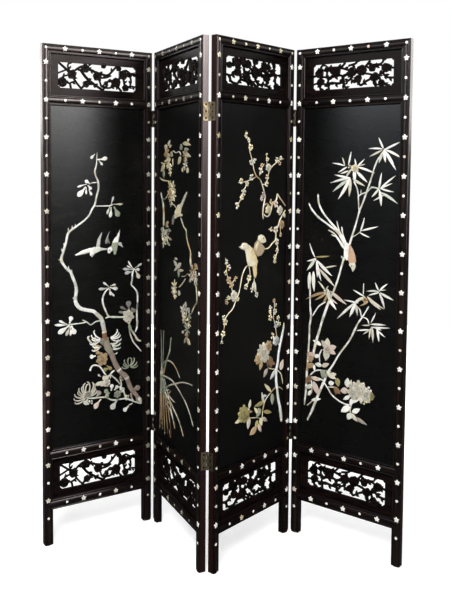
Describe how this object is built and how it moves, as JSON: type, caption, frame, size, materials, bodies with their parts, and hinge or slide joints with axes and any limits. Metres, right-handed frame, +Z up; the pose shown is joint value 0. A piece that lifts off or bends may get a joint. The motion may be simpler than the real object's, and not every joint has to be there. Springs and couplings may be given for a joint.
{
  "type": "folding screen",
  "caption": "Tall folding room screen of hinged wooden panels with moulded frames, pierced frets, and relief inlay of birds, flowers and bamboo on black lacquered boards.",
  "frame": {"origin": "on the floor, at the centre of the footprint of the screen as it stands open in a zigzag", "axes": "+X to the right of someone who faces the decorated front, +Y away from them towards the back, +Z up"},
  "size_m": [1.2885, 0.4297, 1.83],
  "materials": {
    "frame": "dark red-brown rosewood, satin polish",
    "board": "black lacquer, satin",
    "fret": "pierced rosewood, satin polish",
    "stud_inlay": "polished mother-of-pearl",
    "picture_inlay": "carved mother-of-pearl, bone and soapstone, satin",
    "hinge": "aged brass",
    "screw": "aged brass"
  },
  "bodies": {
    "panel_1": {"panel_1_left_stile": "frame", "panel_1_right_stile": "frame", "panel_1_top_rail": "frame", "panel_1_upper_rail": "frame", "panel_1_lower_rail": "frame", "panel_1_bottom_rail": "frame", "panel_1_board": "board", "panel_1_upper_fret": "fret", "panel_1_lower_fret": "fret", "panel_1_studs": "stud_inlay", "panel_1_picture": "picture_inlay", "hinge_12_leaves_1": "hinge", "panel_1_screws": "screw"},
    "panel_2": {"panel_2_left_stile": "frame", "panel_2_right_stile": "frame", "panel_2_top_rail": "frame", "panel_2_upper_rail": "frame", "panel_2_lower_rail": "frame", "panel_2_bottom_rail": "frame", "panel_2_board": "board", "panel_2_upper_fret": "fret", "panel_2_lower_fret": "fret", "panel_2_studs": "stud_inlay", "panel_2_picture": "picture_inlay", "hinge_12_leaves_2": "hinge", "hinge_12_pins": "hinge", "hinge_23_leaves_2": "hinge", "hinge_23_pins": "hinge", "panel_2_screws": "screw"},
    "panel_3": {"panel_3_left_stile": "frame", "panel_3_right_stile": "frame", "panel_3_top_rail": "frame", "panel_3_upper_rail": "frame", "panel_3_lower_rail": "frame", "panel_3_bottom_rail": "frame", "panel_3_board": "board", "panel_3_upper_fret": "fret", "panel_3_lower_fret": "fret", "panel_3_studs": "stud_inlay", "panel_3_picture": "picture_inlay", "hinge_23_leaves_3": "hinge", "hinge_34_leaves_3": "hinge", "hinge_34_pins": "hinge", "panel_3_screws": "screw"},
    "panel_4": {"panel_4_left_stile": "frame", "panel_4_right_stile": "frame", "panel_4_top_rail": "frame", "panel_4_upper_rail": "frame", "panel_4_lower_rail": "frame", "panel_4_bottom_rail": "frame", "panel_4_board": "board", "panel_4_upper_fret": "fret", "panel_4_lower_fret": "fret", "panel_4_studs": "stud_inlay", "panel_4_picture": "picture_inlay", "hinge_34_leaves_4": "hinge", "panel_4_screws": "screw"}
  },
  "joints": [
    {"name": "hinge_12", "type": "hinge", "parent": "panel_2", "child": "panel_1", "pos_m": [-0.25144, 0.19274, 0], "axis": [0, 0, 1], "range_deg": [-96.6, 83.4]},
    {"name": "hinge_23", "type": "hinge", "parent": "panel_2", "child": "panel_3", "pos_m": [-0.04334, -0.2004, 0], "axis": [0, 0, 1], "range_deg": [-113, 67]},
    {"name": "hinge_34", "type": "hinge", "parent": "panel_3", "child": "panel_4", "pos_m": [0.28142, 0.10358, 0], "axis": [0, 0, -1], "range_deg": [-85.2, 94.8]}
  ]
}
